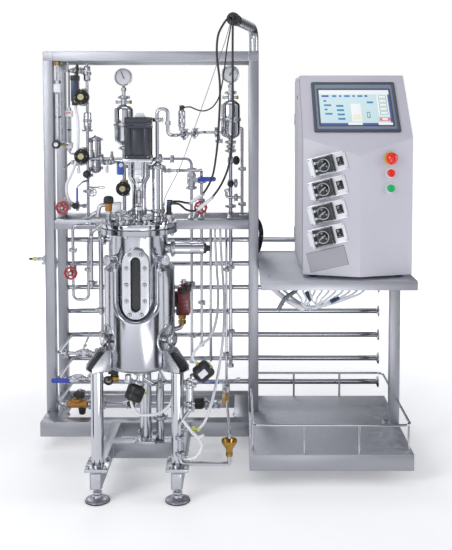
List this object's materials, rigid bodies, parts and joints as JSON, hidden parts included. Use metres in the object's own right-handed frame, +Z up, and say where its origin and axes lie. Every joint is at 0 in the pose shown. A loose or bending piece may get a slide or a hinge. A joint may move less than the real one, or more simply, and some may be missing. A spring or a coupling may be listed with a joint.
{
  "type": "bench bioreactor",
  "caption": "Stirred stainless bioreactor with a sight glass on a skid, piping frame behind it, bottle tray, and a control cabinet on a side shelf.",
  "frame": {"origin": "centre of the bounding box in plan, on the floor under the levelling feet", "axes": "+Z up, +Y from the vessel towards the rear header pipes, +X from the skid towards the control cabinet"},
  "size_m": [1.526, 0.94, 1.719],
  "materials": {
    "brushed_steel": "brushed 304 stainless",
    "polished_steel": "mirror polished 316L stainless",
    "pipe_steel": "drawn and polished stainless tube",
    "motor_paint": "satin dark blue-grey",
    "sight_glass": "clear borosilicate",
    "acrylic": "clear machined acrylic",
    "pump_red": "gloss enamel",
    "black_plastic": "moulded, satin",
    "red_paint": "gloss enamel",
    "blue_vinyl": "dipped vinyl grip",
    "cabinet_paint": "fine powder coat",
    "red_plastic": "moulded",
    "green_plastic": "moulded",
    "cable_rubber": "extruded sheath",
    "hose_plastic": "translucent extruded tube"
  },
  "bodies": {
    "root": {"skid_base": "brushed_steel", "upright_frame": "brushed_steel", "bottle_tray": "brushed_steel", "shelf_stand": "brushed_steel", "sight_glass_frame": "brushed_steel", "vessel_shell": "polished_steel", "heating_jacket": "polished_steel", "head_plate": "polished_steel", "vessel_leg_left": "polished_steel", "vessel_leg_right": "polished_steel", "vessel_leg_rear": "polished_steel", "drive_housing": "polished_steel", "condenser": "polished_steel", "side_sensor": "polished_steel", "inlet_filter": "polished_steel", "exhaust_filter": "polished_steel", "header_rack": "pipe_steel", "exhaust_pipe": "pipe_steel", "gas_line": "pipe_steel", "feed_line": "pipe_steel", "return_line": "pipe_steel", "jacket_line": "pipe_steel", "drain_line": "pipe_steel", "condensate_line": "pipe_steel", "drive_motor": "motor_paint", "sight_glass": "sight_glass", "rotameter": "acrylic", "circulation_pump": "pump_red", "drain_valve": "black_plastic", "touch_panel": "black_plastic", "pump_head_1": "black_plastic", "pump_head_2": "black_plastic", "pump_head_3": "black_plastic", "pump_head_4": "black_plastic", "cabinet_shell": "cabinet_paint", "cabinet_back_cover": "cabinet_paint", "probe_cable_rear": "cable_rubber", "probe_cable_front": "cable_rubber", "transmitter_cable": "cable_rubber", "air_hose_short": "hose_plastic", "air_hose_long": "hose_plastic"},
    "agitator": {"agitator": "polished_steel"},
    "rotameter_knob": {"rotameter_knob": "black_plastic"},
    "handwheel_steam": {"handwheel_steam": "red_paint"},
    "handwheel_jacket": {"handwheel_jacket": "red_paint"},
    "handwheel_return": {"handwheel_return": "red_paint"},
    "lever_feed": {"lever_feed": "blue_vinyl"},
    "lever_branch": {"lever_branch": "blue_vinyl"},
    "lever_condensate": {"lever_condensate": "blue_vinyl"},
    "estop_button": {"estop_button": "red_plastic"},
    "stop_button": {"stop_button": "red_plastic"},
    "start_button": {"start_button": "green_plastic"},
    "pump_rotor_1": {"pump_rotor_1": "black_plastic"},
    "pump_switch_1": {"pump_switch_1": "black_plastic"},
    "pump_rotor_2": {"pump_rotor_2": "black_plastic"},
    "pump_switch_2": {"pump_switch_2": "black_plastic"},
    "pump_rotor_3": {"pump_rotor_3": "black_plastic"},
    "pump_switch_3": {"pump_switch_3": "black_plastic"},
    "pump_rotor_4": {"pump_rotor_4": "black_plastic"},
    "pump_switch_4": {"pump_switch_4": "black_plastic"}
  },
  "joints": [
    {"name": "agitator_spin", "type": "hinge", "parent": "root", "child": "agitator", "pos_m": [-0.234, -0.322, 0.7], "axis": [0, 0, 1], "continuous": true},
    {"name": "rotameter_knob_turn", "type": "hinge", "parent": "root", "child": "rotameter_knob", "pos_m": [-0.625, 0.148, 1.228], "axis": [0, 1, 0], "range_deg": [0, 720]},
    {"name": "handwheel_steam_turn", "type": "hinge", "parent": "root", "child": "handwheel_steam", "pos_m": [-0.607, 0.151, 0.968], "axis": [0, 1, 0], "range_deg": [0, 720]},
    {"name": "handwheel_jacket_turn", "type": "hinge", "parent": "root", "child": "handwheel_jacket", "pos_m": [-0.557, 0.062, 0.714], "axis": [0, 1, 0], "range_deg": [0, 720]},
    {"name": "handwheel_return_turn", "type": "hinge", "parent": "root", "child": "handwheel_return", "pos_m": [-0.039, 0.153, 0.969], "axis": [0, 1, 0], "range_deg": [0, 720]},
    {"name": "lever_feed_turn", "type": "hinge", "parent": "root", "child": "lever_feed", "pos_m": [-0.081, 0.202, 1.082], "axis": [0, 1, 0], "range_deg": [0, 90]},
    {"name": "lever_branch_turn", "type": "hinge", "parent": "root", "child": "lever_branch", "pos_m": [-0.549, 0.118, 0.259], "axis": [0, 1, 0], "range_deg": [0, 90]},
    {"name": "lever_condensate_turn", "type": "hinge", "parent": "root", "child": "lever_condensate", "pos_m": [0.065, 0.132, 0.244], "axis": [0, 0, 1], "range_deg": [0, 90]},
    {"name": "estop_press", "type": "slide", "parent": "root", "child": "estop_button", "axis": [-0.2741, 0.9617, 0], "range_m": [0, 0.006]},
    {"name": "stop_press", "type": "slide", "parent": "root", "child": "stop_button", "axis": [-0.2741, 0.9617, 0], "range_m": [0, 0.003], "stiffness_N_per_m": 400},
    {"name": "start_press", "type": "slide", "parent": "root", "child": "start_button", "axis": [-0.2741, 0.9617, 0], "range_m": [0, 0.003], "stiffness_N_per_m": 400},
    {"name": "pump_rotor_1_spin", "type": "hinge", "parent": "root", "child": "pump_rotor_1", "pos_m": [0.42477, -0.27085, 1.16638], "axis": [-0.2741, -0.9617, 0], "continuous": true},
    {"name": "pump_switch_1_rock", "type": "hinge", "parent": "root", "child": "pump_switch_1", "pos_m": [0.48393, -0.27825, 1.18216], "axis": [0.9289, -0.2647, 0.2588], "range_deg": [0, 14]},
    {"name": "pump_rotor_2_spin", "type": "hinge", "parent": "root", "child": "pump_rotor_2", "pos_m": [0.42477, -0.27085, 1.07968], "axis": [-0.2741, -0.9617, 0], "continuous": true},
    {"name": "pump_switch_2_rock", "type": "hinge", "parent": "root", "child": "pump_switch_2", "pos_m": [0.48393, -0.27825, 1.09546], "axis": [0.9289, -0.2647, 0.2588], "range_deg": [0, 14]},
    {"name": "pump_rotor_3_spin", "type": "hinge", "parent": "root", "child": "pump_rotor_3", "pos_m": [0.42477, -0.27085, 0.99298], "axis": [-0.2741, -0.9617, 0], "continuous": true},
    {"name": "pump_switch_3_rock", "type": "hinge", "parent": "root", "child": "pump_switch_3", "pos_m": [0.48393, -0.27825, 1.00876], "axis": [0.9289, -0.2647, 0.2588], "range_deg": [0, 14]},
    {"name": "pump_rotor_4_spin", "type": "hinge", "parent": "root", "child": "pump_rotor_4", "pos_m": [0.42477, -0.27085, 0.90628], "axis": [-0.2741, -0.9617, 0], "continuous": true},
    {"name": "pump_switch_4_rock", "type": "hinge", "parent": "root", "child": "pump_switch_4", "pos_m": [0.48393, -0.27825, 0.92206], "axis": [0.9289, -0.2647, 0.2588], "range_deg": [0, 14]}
  ]
}
